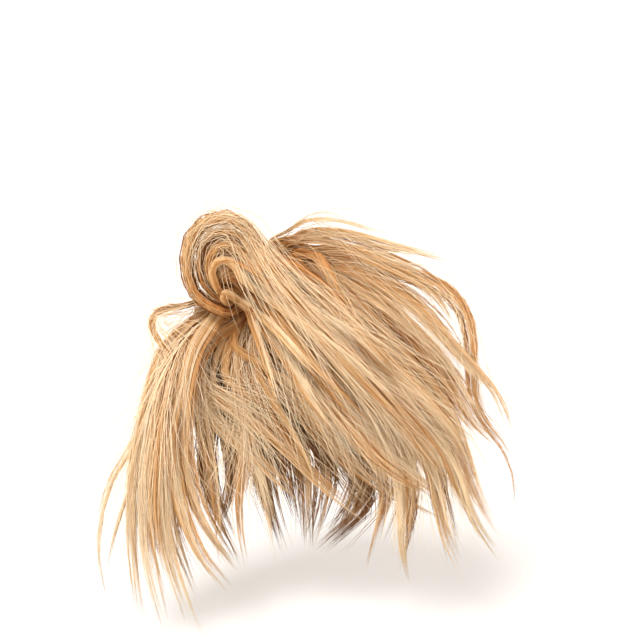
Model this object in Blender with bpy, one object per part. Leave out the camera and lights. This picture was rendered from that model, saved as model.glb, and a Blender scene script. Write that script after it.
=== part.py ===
"""Top knot hairpiece: an elastic loop with rows of hair weft sewn round it, worn over a low knot.

Metres, +Z up. The origin is the middle of the band's back opening, where it sits on the wearer's
hair. +Y points into the head, -Y away from it, and +X is the right as seen from behind the wearer.
"""

import math
from collections import namedtuple

import bmesh
import bpy
import numpy as np

MM = 0.001

# The band, in millimetres. The rows of weft lie one in front of the other along it.
BAND_INNER_R = 13.0
BAND_WALL = 2.4
BAND_EDGE = 0.6
WEFT_WALL = 4.0
ROW_WIDTH = 3.0
ROWS = 6
FIT_GAP = 0.3
ROW_PITCH = ROW_WIDTH + FIT_GAP
BAND_LENGTH = ROWS * ROW_PITCH - FIT_GAP
WEFT_INNER_R = BAND_INNER_R + BAND_WALL + FIT_GAP
WEFT_OUTER_R = WEFT_INNER_R + WEFT_WALL
ROOT_R = WEFT_INNER_R + 0.5 * WEFT_WALL
CROSS_ROOT_R = WEFT_INNER_R + 0.75 * WEFT_WALL
TURN_STEP_DEG = 18.0

# The line along which the hair is laid out: from behind the wearer and a little above.
SIGHT_TILT = math.radians(12.0)
SIGHT_DISTANCE = 900.0
SIGHT_CENTRE = (33.0, -24.0)

# How far each layer of hair stands off the head, row by row, at the band and where the hair is full.
ROW_START = [row * ROW_PITCH for row in range(ROWS)] + [ROWS * ROW_PITCH]
FULL_START = [2.0, 16.0, 28.0, 42.0, 56.0, 70.0, 92.0]
RISE_FROM = 24.5
RISE_TO = 78.0
RISE_EASE = 1.6
FALL_BACK = 0.22
FALL_FROM = 100.0
FALL_TO = 230.0
SCALP_SIDE_DEG = (95.0, 195.0)
SCALP_BLEND_DEG = 45.0
SCALP_SHARE = 0.6
CROSSING_ROW = 4
CROSS_RISE = 5.5
CURL_ROW = 5
CURL_ROOT = (-11.0, -15.0)
CURL_REACH = 20.0
CURL_CLEAR = 7.0
LAYER_GAP = 1.4
LOCK_INSET = 0.06

# A lock's cross-section and how it is divided.
LOCK_SIDES = 6
LOCK_STEP = 34.0
BEND_STEP = math.radians(40.0)
LOCK_LEAST = 4
ROOT_SHARE = 0.45
SWELL_SHARE = 0.30
TIP_HALF = 0.35
TIP_SHARE = 0.3
SHARP_ANGLE = math.radians(50.0)
FINE_STEPS = 40
LIFT_RUN = 14.0
ROOT_THICK = 2.4
ROOT_RUN = 12.0
ROOT_OUT = 5.0

Lock = namedtuple("Lock", "root_deg lift width thick route")
Tuft = namedtuple("Tuft", "row weft_from_deg weft_to_deg colour roughness locks")

# Each lock: where on the band it is sewn, how high it lies in its layer, its width and thickness in
# millimetres, and the places (across, up) that it passes as seen, in millimetres from the origin.
TUFTS = {
    "under_layer": Tuft(0, 0.0, 360.0, (0.30, 0.17, 0.085), 0.5, [
        Lock(222, 0, 20, 7, [(-28, -54), (-34, -90), (-33, -126), (-18, -162)]),
        Lock(255, 3, 24, 7, [(-6, -60), (-4, -96), (3, -132), (10, -156)]),
        Lock(285, 1, 24, 7, [(15, -60), (42, -92), (62, -118), (54, -141), (36, -157)]),
        Lock(302, 4, 24, 7, [(39, -48), (66, -78), (85, -108), (88, -138), (83, -163)]),
        Lock(325, 0, 24, 7, [(48, -30), (78, -54), (99, -84), (104, -120), (112, -160)]),
        Lock(350, 3, 18, 7, [(51, -6), (78, -26), (99, -50), (108, -84), (117, -122), (126, -148)]),
        Lock(195, 2, 15, 7, [(-42, -33), (-57, -60), (-67, -96), (-73, -132), (-74, -168)]),
        Lock(206, 4, 17, 7, [(-39, -42), (-50, -78), (-56, -114), (-54, -150), (-44, -180)]),
        Lock(270, 0, 24, 7, [(6, -50), (17, -84), (25, -112), (25, -136), (26, -156)]),
        Lock(238, 3, 22, 7, [(-18, -50), (-22, -84), (-20, -118), (-27, -146)]),
        Lock(278, 4, 18, 7, [(14, -56), (30, -88), (42, -112), (50, -126)]),
    ]),
    "centre_fall": Tuft(1, 0.0, 360.0, (0.66, 0.43, 0.22), 0.45, [
        Lock(230, 4, 13, 6, [(-38, -39), (-43, -55), (-35, -66), (-17, -77), (4, -93), (22, -110),
                             (42, -129), (58, -142)]),
        Lock(222, 1, 13, 6, [(-39, -42), (-43, -62), (-34, -80), (-16, -98), (8, -120), (30, -140)]),
        Lock(264, 3, 15, 6, [(-2, -39), (12, -63), (33, -90), (54, -111), (81, -130), (103, -142)]),
        Lock(278, 1, 15, 6, [(9, -42), (28, -69), (52, -94), (76, -112), (99, -128)]),
        Lock(250, 0, 13, 6, [(-14, -48), (-15, -72), (-8, -96), (-2, -120), (4, -144), (7, -160)]),
        Lock(214, 3, 12, 6, [(-39, -40), (-41, -63), (-37, -90), (-31, -118), (-28, -142), (-26, -162)]),
        Lock(257, 5, 13, 6, [(-9, -40), (-2, -64), (12, -88), (24, -108), (32, -127)]),
        Lock(243, 2, 11, 6, [(-18, -50), (-13, -80), (-12, -108), (-15, -133), (-12, -163)]),
        Lock(292, 2, 14, 6, [(24, -45), (45, -75), (63, -100), (72, -126), (67, -150), (62, -172)]),
        Lock(308, 4, 14, 6, [(36, -42), (63, -73), (84, -102), (88, -130), (85, -150), (83, -166)]),
    ]),
    "left_fall": Tuft(2, 165.0, 262.0, (0.80, 0.57, 0.32), 0.45, [
        Lock(196, 3, 12, 7, [(-39, -23), (-55, -35), (-65, -54), (-73, -84), (-79, -114), (-80, -150),
                             (-76, -192)]),
        Lock(206, 5, 13, 7, [(-38, -25), (-53, -42), (-63, -67), (-70, -102), (-72, -138), (-69, -168),
                             (-62, -195)]),
        Lock(216, 2, 13, 7, [(-36, -28), (-49, -46), (-58, -72), (-62, -108), (-62, -144), (-58, -168),
                             (-50, -192), (-44, -207)]),
        Lock(227, 5, 12, 7, [(-33, -30), (-45, -48), (-52, -72), (-55, -96), (-53, -120), (-47, -144),
                             (-38, -166), (-27, -180)]),
        Lock(238, 2, 12, 7, [(-29, -32), (-42, -49), (-48, -72), (-50, -96), (-45, -123), (-35, -147),
                             (-20, -168)]),
        Lock(188, 1, 5, 4, [(-48, -42), (-69, -80), (-79, -99), (-90, -115), (-98, -138), (-101, -162),
                            (-97, -188)]),
        Lock(181, 4, 4, 4, [(-50, -50), (-66, -90), (-75, -111), (-84, -133), (-91, -156), (-95, -180)]),
        Lock(212, 0, 12, 6, [(-40, -35), (-57, -63), (-67, -96), (-71, -132), (-70, -162), (-67, -190)]),
    ]),
    "right_sweep": Tuft(2, -45.0, 98.0, (0.78, 0.55, 0.31), 0.45, [
        Lock(84, 4, 4, 4, [(10, 28), (22, 35), (36, 37), (52, 34), (68, 29), (84, 25)]),
        Lock(72, 2, 6, 5, [(14, 22), (22, 26), (32, 28), (46, 28), (64, 23), (82, 18), (103, 14)]),
        Lock(56, 4, 9, 6, [(27, 18), (46, 18), (68, 12), (88, 2), (104, -10), (113, -25)]),
        Lock(42, 1, 10, 6, [(30, 15), (51, 15), (72, 8), (93, 1), (111, -8), (120, -21), (123, -36),
                            (123, -54), (128, -81), (141, -97), (150, -113), (152, -127)]),
        Lock(30, 4, 12, 6, [(39, 10), (60, 4), (78, -7), (96, -21), (111, -37), (126, -53), (139, -69),
                            (147, -86)]),
        Lock(18, 1, 15, 7, [(48, 3), (72, -15), (93, -36), (109, -57), (118, -75), (126, -86), (138, -97)]),
        Lock(4, 4, 15, 7, [(45, -6), (66, -27), (87, -51), (106, -75), (117, -98), (123, -118),
                           (130, -136), (139, -152)]),
        Lock(-12, 1, 15, 7, [(42, -15), (60, -38), (81, -63), (101, -88), (113, -109), (120, -132)]),
    ]),
    "side_loop": Tuft(3, 195.0, 236.0, (0.72, 0.47, 0.24), 0.45, [
        Lock(212, 3, 6, 4, [(-38, -14), (-51, -17), (-62, -18.5), (-67.5, -23), (-67, -29), (-63, -36),
                            (-57, -44), (-52, -58), (-53, -86), (-56, -122)]),
        Lock(220, 6, 8, 5, [(-37, -26), (-51, -44), (-60, -72), (-64, -104), (-65, -140), (-61, -172)]),
    ]),
    "right_fall": Tuft(3, -75.0, 78.0, (0.82, 0.60, 0.36), 0.42, [
        Lock(46, 4, 11, 6, [(27, 15), (35, 8), (41, -5), (53, -30), (72, -55), (92, -79), (110, -95),
                            (126, -109)]),
        Lock(24, 1, 14, 6, [(30, 3), (38, -15), (56, -40), (74, -64), (96, -87), (113, -111),
                            (123, -140), (137, -162)]),
        Lock(-12, 4, 14, 6, [(31, -20), (49, -45), (70, -70), (90, -94), (102, -120), (107, -148),
                             (117, -172)]),
        Lock(-36, 1, 13, 6, [(27, -33), (45, -57), (65, -84), (77, -108), (81, -137), (81, -160),
                             (84, -174)]),
        Lock(-54, 4, 12, 6, [(18, -36), (36, -62), (57, -89), (78, -110), (94, -122), (106, -130)]),
    ]),
    "front_fall": Tuft(4, 52.0, 178.0, (0.86, 0.66, 0.42), 0.4, [
        Lock(168, 17, 11, 5, [(-9, 0), (4, -10), (20, -21), (40, -34), (63, -52), (87, -78), (106, -103)]),
        Lock(128, 15, 12, 6, [(2, 6), (15, -6), (33, -25), (57, -52), (81, -79), (104, -104), (113, -130)]),
        Lock(96, 16, 12, 6, [(9, 3), (22, -12), (40, -36), (61, -62), (85, -89), (108, -115)]),
        Lock(148, 14, 12, 6, [(-5, -3), (4, -20), (18, -44), (35, -70), (54, -94), (73, -113), (94, -126)]),
        Lock(70, 15, 12, 6, [(20, 6), (35, -6), (53, -28), (73, -49), (94, -71), (114, -94), (125, -116)]),
    ]),
    "curl_lock": Tuft(5, 185.0, 240.0, (0.88, 0.68, 0.44), 0.4, [
        Lock(220, 5, 11, 8, [(-29, -17), (-40, -10), (-45.5, 3), (-46, 17), (-41, 27.5), (-32, 34.5),
                             (-21, 35), (-12, 29), (-3, 17), (6, 3), (18, -12), (33, -29), (56, -54),
                             (80, -81), (98, -107)]),
        Lock(208, 9, 9, 7, [(-29, -10), (-36, -3), (-38.5, 8), (-37, 18), (-31, 25), (-22, 26),
                            (-14, 21), (-5, 10), (6, -5), (21, -22), (42, -43), (67, -68), (90, -89)]),
        Lock(196, 2, 8, 5, [(-32, 3), (-31, 11), (-25, 18), (-16, 17), (-7, 9), (3, -2), (15, -15),
                            (30, -31), (50, -51), (73, -73), (95, -95), (108, -113)]),
    ]),
}


def smooth_step(t):
    """0 before 0 and 1 after 1, with no corner between."""
    t = np.clip(t, 0.0, 1.0)
    return t * t * (3.0 - 2.0 * t)


def sight_axes():
    """The eye, and the up and back directions of the plane that the hair is laid out on."""
    up = np.array([0.0, math.sin(SIGHT_TILT), math.cos(SIGHT_TILT)])
    back = np.array([0.0, -math.cos(SIGHT_TILT), math.sin(SIGHT_TILT)])
    across = np.array([1.0, 0.0, 0.0])
    eye = across * SIGHT_CENTRE[0] + up * SIGHT_CENTRE[1] + back * SIGHT_DISTANCE
    return across, up, eye


def placed(seen):
    """Real places of (across, up, stand-off) points: each on its line of sight, that far off the head."""
    across, up, eye = sight_axes()
    on_plane = seen[:, :1] * across + seen[:, 1:2] * up
    share = (-seen[:, 2] - eye[1]) / (on_plane[:, 1] - eye[1])
    return eye + share[:, None] * (on_plane - eye)


def seen_from_real(point):
    """The (across, up, stand-off) of a real place: placed() the other way round."""
    across, up, eye = sight_axes()
    back = np.cross(across, up)
    share = SIGHT_DISTANCE / ((eye - point) @ back)
    on_plane = eye + share * (point - eye)
    return np.array([on_plane @ across, on_plane @ up, -point[1]])


def fullness(seen):
    """How much of its full stand-off the hair has reached: none at the band, and less on the scalp side.

    The second share is that of the outermost row, which springs forward from its own root.
    """
    radius = np.hypot(seen[:, 0], seen[:, 1])
    turn = np.degrees(np.arctan2(seen[:, 1], seen[:, 0])) % 360.0
    low, high = SCALP_SIDE_DEG
    beyond = np.maximum(low - turn, turn - high)
    beyond = np.minimum(beyond, 360.0 - high + low - beyond)
    scalp = smooth_step(1.0 - beyond / SCALP_BLEND_DEG) * smooth_step(radius / RISE_FROM)
    rise = 1.0 - np.clip((RISE_TO - radius) / (RISE_TO - RISE_FROM), 0.0, 1.0) ** RISE_EASE
    fall = 1.0 - FALL_BACK * smooth_step((radius - FALL_FROM) / (FALL_TO - FALL_FROM))
    thinned = 1.0 - SCALP_SHARE * scalp
    from_root = np.hypot(seen[:, 0] - CURL_ROOT[0], seen[:, 1] - CURL_ROOT[1])
    sprung = 1.0 - np.exp(-np.maximum(from_root - CURL_CLEAR, 0.0) / CURL_REACH)
    return rise * fall * thinned, sprung * fall * thinned


def layer_start(row, seen):
    """The stand-off at which this row's layer begins, at each point."""
    share, curl_share = fullness(seen)
    if row >= CURL_ROW:
        share = curl_share
    return ROW_START[row] + (FULL_START[row] - ROW_START[row]) * share


def spline_through(points):
    """Points along the natural cubic spline through the given ones, and how far along it each is.

    The first two of them are the first two given. The rest lie closer together where the spline bends.
    """
    points = np.asarray(points, float)
    knots = np.concatenate([[0.0], np.cumsum(np.linalg.norm(np.diff(points, axis=0), axis=1))])
    gaps = np.diff(knots)
    size = len(points)
    matrix = np.eye(size)
    right = np.zeros_like(points)
    for i in range(1, size - 1):
        matrix[i, i - 1:i + 2] = gaps[i - 1], 2.0 * (gaps[i - 1] + gaps[i]), gaps[i]
        right[i] = 6.0 * ((points[i + 1] - points[i]) / gaps[i] - (points[i] - points[i - 1]) / gaps[i - 1])
    bend = np.linalg.solve(matrix, right)

    def at(s):
        i = np.clip(np.searchsorted(knots, s, side="right") - 1, 0, size - 2)
        h = gaps[i][:, None]
        a = (knots[i + 1] - s)[:, None] / h
        b = 1.0 - a
        curve = (a ** 3 - a) * bend[i] + (b ** 3 - b) * bend[i + 1]
        return a * points[i] + b * points[i + 1] + curve * h ** 2 / 6.0

    fine_knots = np.linspace(0.0, knots[-1], FINE_STEPS * size)
    steps = np.diff(at(fine_knots), axis=0)
    length = np.linalg.norm(steps, axis=1)
    heading = np.unwrap(np.arctan2(steps[:, 1], steps[:, 0]))
    bends = np.abs(np.diff(heading, prepend=heading[0]))
    measure = np.concatenate([[0.0], np.cumsum(length / LOCK_STEP + bends / BEND_STEP)])
    leaving = np.interp(knots[1], fine_knots, measure)
    count = max(LOCK_LEAST, round(measure[-1] - leaving) + 1)
    places = np.interp(np.linspace(leaving, measure[-1], count), measure, fine_knots)
    places = np.concatenate([[0.0], places])
    along = np.interp(places, fine_knots, np.concatenate([[0.0], np.cumsum(length)]))
    return at(places), along


def root_points(row, root_deg):
    """Where a lock starts inside its weft and where it leaves it: outwards, or forwards to cross the band."""
    turn = math.radians(root_deg)
    middle = ROW_START[row] + 0.5 * ROW_WIDTH
    if row == CROSSING_ROW:
        ends = [(CROSS_ROOT_R, middle), (WEFT_OUTER_R, BAND_LENGTH + CROSS_RISE)]
    else:
        ends = [(ROOT_R, middle), (WEFT_OUTER_R + ROOT_OUT, middle)]
    return [seen_from_real(np.array([r * math.cos(turn), -off, r * math.sin(turn)])) for r, off in ends]


def lock_sections(row, lock):
    """The lock's centre line and its half width and half thickness there, in (across, up, stand-off)."""
    start, leaving = root_points(row, lock.root_deg)
    route = np.array([start[:2], leaving[:2]] + [np.array(place, float) for place in lock.route])
    crossing = row == CROSSING_ROW
    if crossing:
        route = route[1:]
    line, along = spline_through(route)
    if crossing:
        line = np.vstack([start[:2], line])
        along = np.concatenate([[0.0], along + np.linalg.norm(start - leaving)])
    share = along / along[-1]
    swell = ROOT_SHARE + (1.0 - ROOT_SHARE) * smooth_step(share / SWELL_SHARE)
    taper = np.sqrt(np.clip(1.0 - share ** 3, 0.0, 1.0))
    half_width = np.maximum(0.5 * lock.width * swell * taper, TIP_HALF)
    grown = smooth_step((along - ROOT_RUN) / (2.0 * ROOT_RUN))
    half_thick = np.maximum(0.5 * (ROOT_THICK + (lock.thick - ROOT_THICK) * grown) * taper, TIP_HALF)
    floor = layer_start(row, line)
    ceiling = layer_start(row + 1, line)
    lifted = floor + half_thick + lock.lift * smooth_step(along / LIFT_RUN) + 0.5 * LAYER_GAP * grown
    off = np.minimum(lifted, ceiling - half_thick - 0.5 * LAYER_GAP * grown)
    off[0] = start[2]
    if crossing:
        off[1] = leaving[2]
        off[2:] = np.maximum(off[2:], leaving[2])
    return np.column_stack([line, off]), half_width, half_thick


def lock_mesh(name, row, number, lock):
    """A flattened tube round the centre line, blunt in the weft and drawn to a point at the tip."""
    line, half_width, half_thick = lock_sections(row, lock)
    heading = np.gradient(line, axis=0)
    flat = heading[:, :2] / np.linalg.norm(heading[:, :2], axis=1)[:, None]
    if row == CROSSING_ROW:
        flat[:2] = flat[2]
    side = np.column_stack([-flat[:, 1], flat[:, 0], np.zeros(len(line))])
    heading /= np.linalg.norm(heading, axis=1)[:, None]
    normal = np.cross(heading, side)
    turn = np.arange(LOCK_SIDES) * 2.0 * math.pi / LOCK_SIDES
    wide = half_width[:, None, None] * np.cos(turn)[None, :, None] * side[:, None, :]
    deep = half_thick[:, None, None] * np.sin(turn)[None, :, None] * normal[:, None, :]
    grid = (line[:, None, :] + wide + deep).reshape(-1, 3)
    inset = LOCK_INSET * (1 + number)
    low = layer_start(row, grid) + inset
    high = layer_start(row + 1, grid) - FIT_GAP - inset
    held = (row != CROSSING_ROW) | (np.hypot(grid[:, 0], grid[:, 1]) > RISE_FROM)
    grid[:, 2] = np.where(held, np.clip(grid[:, 2], low, high), grid[:, 2])
    tip = line[-1:] + (line[-1:] - line[-2:-1]) * TIP_SHARE
    tip[:, 2] = np.clip(tip[:, 2], layer_start(row, tip) + inset, layer_start(row + 1, tip) - FIT_GAP - inset)
    points = placed(np.vstack([grid, tip])) * MM
    faces = []
    for ring in range(len(line) - 1):
        for i in range(LOCK_SIDES):
            j = (i + 1) % LOCK_SIDES
            a, b = ring * LOCK_SIDES + i, ring * LOCK_SIDES + j
            faces.append((a, b, b + LOCK_SIDES))
            faces.append((a, b + LOCK_SIDES, a + LOCK_SIDES))
    faces.append(tuple(reversed(range(LOCK_SIDES))))
    last = (len(line) - 1) * LOCK_SIDES
    for i in range(LOCK_SIDES):
        faces.append((last + i, last + (i + 1) % LOCK_SIDES, len(points) - 1))
    return finished_mesh(name, points, faces)


def finished_mesh(name, points, faces):
    """A mesh of these faces, turned to face outwards."""
    mesh = bpy.data.meshes.new(name)
    mesh.from_pydata([tuple(p) for p in points], [], faces)
    mesh.update()
    volume = sum(
        np.dot(points[face[0]], np.cross(points[face[i]], points[face[i + 1]]))
        for face in faces
        for i in range(1, len(face) - 1)
    )
    if volume < 0.0:
        mesh.flip_normals()
    mesh.shade_smooth()
    mesh.set_sharp_from_angle(angle=SHARP_ANGLE)
    return mesh


def turned_mesh(name, profile, from_deg, to_deg):
    """The (radius, stand-off) profile turned about the band's axis, with end faces on a part turn."""
    whole = to_deg - from_deg >= 360.0
    steps = max(3, round((to_deg - from_deg) / TURN_STEP_DEG))
    turns = np.radians(np.linspace(from_deg, to_deg, steps + 1)[:steps if whole else None])
    profile = np.array(profile)
    points = np.array([
        (radius * math.cos(turn), -off, radius * math.sin(turn)) for turn in turns for radius, off in profile
    ]) * MM
    size = len(profile)
    faces = []
    for step in range(steps):
        after = (step + 1) % len(turns)
        for i in range(size):
            j = (i + 1) % size
            faces.append((step * size + i, step * size + j, after * size + j, after * size + i))
    if not whole:
        faces.append(tuple(reversed(range(size))))
        faces.append(tuple((len(turns) - 1) * size + i for i in range(size)))
    return finished_mesh(name, points, faces)


def finish_of(name, colour, roughness):
    """A plain finish: the piece's own colour, as dull or bright as it looks."""
    material = bpy.data.materials.new(name)
    material.use_nodes = True
    shader = material.node_tree.nodes["Principled BSDF"]
    shader.inputs["Base Color"].default_value = (*colour, 1.0)
    shader.inputs["Roughness"].default_value = roughness
    shader.inputs["Metallic"].default_value = 0.0
    return material


def add_object(name, mesh, material, collection):
    mesh.materials.append(material)
    obj = bpy.data.objects.new(name, mesh)
    collection.objects.link(obj)
    return obj


def elastic_band():
    """The elastic loop that grips the knot, its edges eased."""
    low, high = BAND_INNER_R, BAND_INNER_R + BAND_WALL
    ease = BAND_EDGE
    profile = [
        (low + ease, 0.0), (high - ease, 0.0), (high, ease), (high, BAND_LENGTH - ease),
        (high - ease, BAND_LENGTH), (low + ease, BAND_LENGTH), (low, BAND_LENGTH - ease), (low, ease),
    ]
    mesh = turned_mesh("elastic_band", profile, 0.0, 360.0)
    finish = finish_of("elastic", (0.33, 0.21, 0.12), 0.85)
    add_object("elastic_band", mesh, finish, bpy.context.scene.collection)


def hair_tuft(name, tuft):
    """One row of weft round the band with its locks, joined into one body."""
    front, back = ROW_START[tuft.row] + ROW_WIDTH, ROW_START[tuft.row]
    profile = [(WEFT_INNER_R, back), (WEFT_OUTER_R, back), (WEFT_OUTER_R, front), (WEFT_INNER_R, front)]
    weft = turned_mesh(name, profile, tuft.weft_from_deg, tuft.weft_to_deg)
    finish = finish_of(name, tuft.colour, tuft.roughness)
    piece = add_object(name, weft, finish, bpy.context.scene.collection)
    locks = bpy.data.collections.new(name + "_locks")
    bpy.context.scene.collection.children.link(locks)
    for number, lock in enumerate(tuft.locks):
        label = f"{name}_lock_{number}"
        add_object(label, lock_mesh(label, tuft.row, number, lock), finish, locks)
    join = piece.modifiers.new("join_locks", "BOOLEAN")
    join.operation = "UNION"
    join.solver = "EXACT"
    join.operand_type = "COLLECTION"
    join.collection = locks
    settled = piece.evaluated_get(bpy.context.evaluated_depsgraph_get())
    joined = bpy.data.meshes.new_from_object(settled)
    piece.modifiers.clear()
    piece.data = joined
    for guide in list(locks.objects):
        bpy.data.objects.remove(guide)
    bpy.data.collections.remove(locks)
    keep_outer_skin(joined)


def keep_outer_skin(mesh):
    """Leave only the largest skin: locks that meet can also enclose a pocket or pinch off a crumb."""
    work = bmesh.new()
    work.from_mesh(mesh)
    left = set(work.faces)
    skins = []
    while left:
        reached = [left.pop()]
        for face in reached:
            for edge in face.edges:
                for other in edge.link_faces:
                    if other in left and len(edge.link_faces) == 2:
                        left.remove(other)
                        reached.append(other)
        skins.append(reached)
    skins.sort(key=len)
    for crumb in skins[:-1]:
        bmesh.ops.delete(work, geom=crumb, context="FACES")
    work.to_mesh(mesh)
    work.free()


def main():
    for obj in list(bpy.data.objects):
        bpy.data.objects.remove(obj)
    elastic_band()
    for name, tuft in TUFTS.items():
        hair_tuft(name, tuft)


main()
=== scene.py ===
"""The look of the top knot hairpiece.

Loose fibre in every lock, strips of sewn weft, a knitted elastic loop, and a floor and light for the
picture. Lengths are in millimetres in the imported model's frame, and MM turns them to metres where a
mesh is made.
"""
import math
from collections import namedtuple

import bpy
import numpy as np
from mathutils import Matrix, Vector


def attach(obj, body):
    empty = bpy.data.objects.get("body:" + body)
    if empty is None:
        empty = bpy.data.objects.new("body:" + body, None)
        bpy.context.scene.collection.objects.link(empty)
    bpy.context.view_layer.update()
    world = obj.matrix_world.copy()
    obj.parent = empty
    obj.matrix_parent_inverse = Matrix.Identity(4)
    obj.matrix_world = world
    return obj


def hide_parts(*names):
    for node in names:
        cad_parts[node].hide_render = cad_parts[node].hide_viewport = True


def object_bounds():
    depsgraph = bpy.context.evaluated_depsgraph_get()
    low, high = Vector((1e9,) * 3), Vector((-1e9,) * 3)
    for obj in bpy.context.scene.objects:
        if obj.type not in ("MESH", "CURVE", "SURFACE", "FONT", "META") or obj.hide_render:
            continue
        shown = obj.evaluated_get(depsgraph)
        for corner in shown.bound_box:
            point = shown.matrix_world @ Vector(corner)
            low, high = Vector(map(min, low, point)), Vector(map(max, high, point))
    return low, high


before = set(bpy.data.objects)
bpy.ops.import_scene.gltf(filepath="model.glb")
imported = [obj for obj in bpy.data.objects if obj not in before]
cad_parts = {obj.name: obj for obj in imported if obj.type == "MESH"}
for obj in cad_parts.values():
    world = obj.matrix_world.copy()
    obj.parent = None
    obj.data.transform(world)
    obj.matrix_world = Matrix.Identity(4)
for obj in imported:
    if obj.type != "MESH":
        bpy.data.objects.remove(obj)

CAD_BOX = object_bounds()
MM = 0.001
RNG = np.random.default_rng(590)

# The band and its rows of weft, as in the solids.
BAND_INNER_R = 13.0
BAND_WALL = 2.4
ROW_WIDTH, ROW_PITCH, ROW_GAP = 3.0, 3.3, 0.3
ROWS = 6
BAND_LENGTH = ROWS * ROW_PITCH - ROW_GAP
WEFT_GAP, WEFT_THICK = 0.3, 4.0
WEFT_INNER_R = BAND_INNER_R + BAND_WALL + WEFT_GAP
WEFT_OUTER_R = WEFT_INNER_R + WEFT_THICK

# A lock starts inside its strip of weft and leaves it outwards. One that crosses the front leaves it
# towards the eye.
ROOT_R = 0.5 * (WEFT_INNER_R + WEFT_OUTER_R)
LEAVE_RUN, CROSS_RISE = 5.0, 5.5
LEAVE_R = WEFT_OUTER_R + LEAVE_RUN

# The eye: the hair is laid out on a plane square to this sight line, 12 degrees above the band's axis.
SIGHT_TILT = math.radians(12.0)
SIGHT_DISTANCE = 900.0
SIGHT_CENTRE = (33.0, -24.0)
PICTURE_WIDTH = 384.0
SENSOR_WIDTH = 36.0

# How far each layer of hair stands off the head, at the band and where the hair is full.
ROW_START = [row * ROW_PITCH for row in range(ROWS + 1)]
FULL_START = [2.0, 16.0, 28.0, 42.0, 56.0, 70.0, 92.0]
RISE_FROM, RISE_TO, RISE_EASE = 24.5, 78.0, 1.6
FALL_BACK, FALL_FROM, FALL_TO = 0.22, 100.0, 230.0
SCALP_SIDE_DEG, SCALP_BLEND_DEG, SCALP_SHARE = (95.0, 195.0), 45.0, 0.6
CROSSING_ROW, CURL_ROW = 4, 5
CURL_ROOT, CURL_REACH, CURL_CLEAR = (-11.0, -15.0), 20.0, 7.0

# A lock's section, as in the solids: its width grows to the full one and narrows again to the tip, it
# thickens past the weft, and it rises to its lift within its layer.
ROOT_WIDTH_SHARE, FULL_WIDTH_BY, TIP_NARROWS = 0.62, 0.3, 0.22
ROOT_THICK, THICKENS_FROM, THICKENS_OVER = 2.4, 12.0, 24.0
LIFTS_OVER, LAYER_GAP, SEAM_REACH = 14.0, 0.7, 4.0

# root_deg: where the lock leaves the band, in degrees from the right over the top. lift: how far it
# lies over the back of its layer. width, thick: its section. route: the (across, up) places on the
# layout plane that its middle passes. shade: how light it is, where that isn't the tuft's. It is partly
# the lock's own colour and partly painted shade: locks that lie under others are given darker shades
# for the shade in the gaps between the locks over them.
Lock = namedtuple("Lock", "root_deg lift width thick route shade", defaults=(None,))
# row: which row of weft, from the head outwards. weft_deg: from where to where its strip goes round the
# band. fibres: how many a lock of middling width has. points: how many each fibre's line has. radius:
# of a fibre. shade: how light the tuft is, 0 deep gold brown to 1 pale blonde. fray: the share of its
# width at a lock's tip. The under layer is deep gold and dark partly as painted shade: it is the layer
# seen in the gaps between the others.
Tuft = namedtuple("Tuft", "row weft_deg fibres points radius shade fray locks")

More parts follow.
